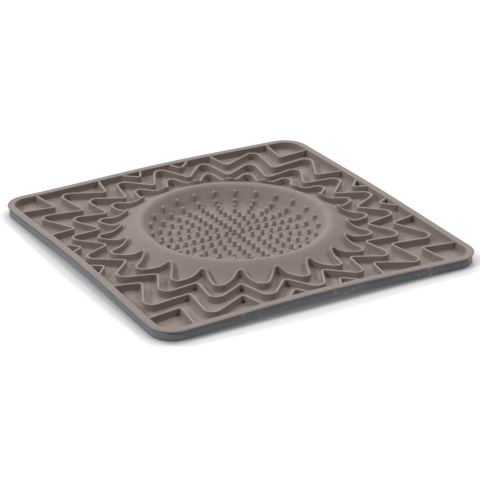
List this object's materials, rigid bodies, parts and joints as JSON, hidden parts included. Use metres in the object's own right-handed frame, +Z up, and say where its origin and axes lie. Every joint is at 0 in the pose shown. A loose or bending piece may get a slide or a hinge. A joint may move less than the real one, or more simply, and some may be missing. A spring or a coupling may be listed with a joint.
{
  "type": "lick mat",
  "caption": "Square rubber lick mat with zigzag ribs round a raised bowl of soft pins, a flat rim with a thin lip, and a dark tray as its side and underside.",
  "frame": {"origin": "on the surface that the mat lies on, under its centre", "axes": "+Z up; +X and +Y along the sides of the square; the corner nearest the camera in the picture is at -X -Y"},
  "size_m": [0.2, 0.2012, 0.0104],
  "materials": {
    "taupe_rubber": "matt taupe food-grade rubber",
    "slate_rubber": "matt slate-grey rubber"
  },
  "bodies": {
    "root": {"top_moulding": "taupe_rubber", "base_tray": "slate_rubber"}
  },
  "joints": []
}
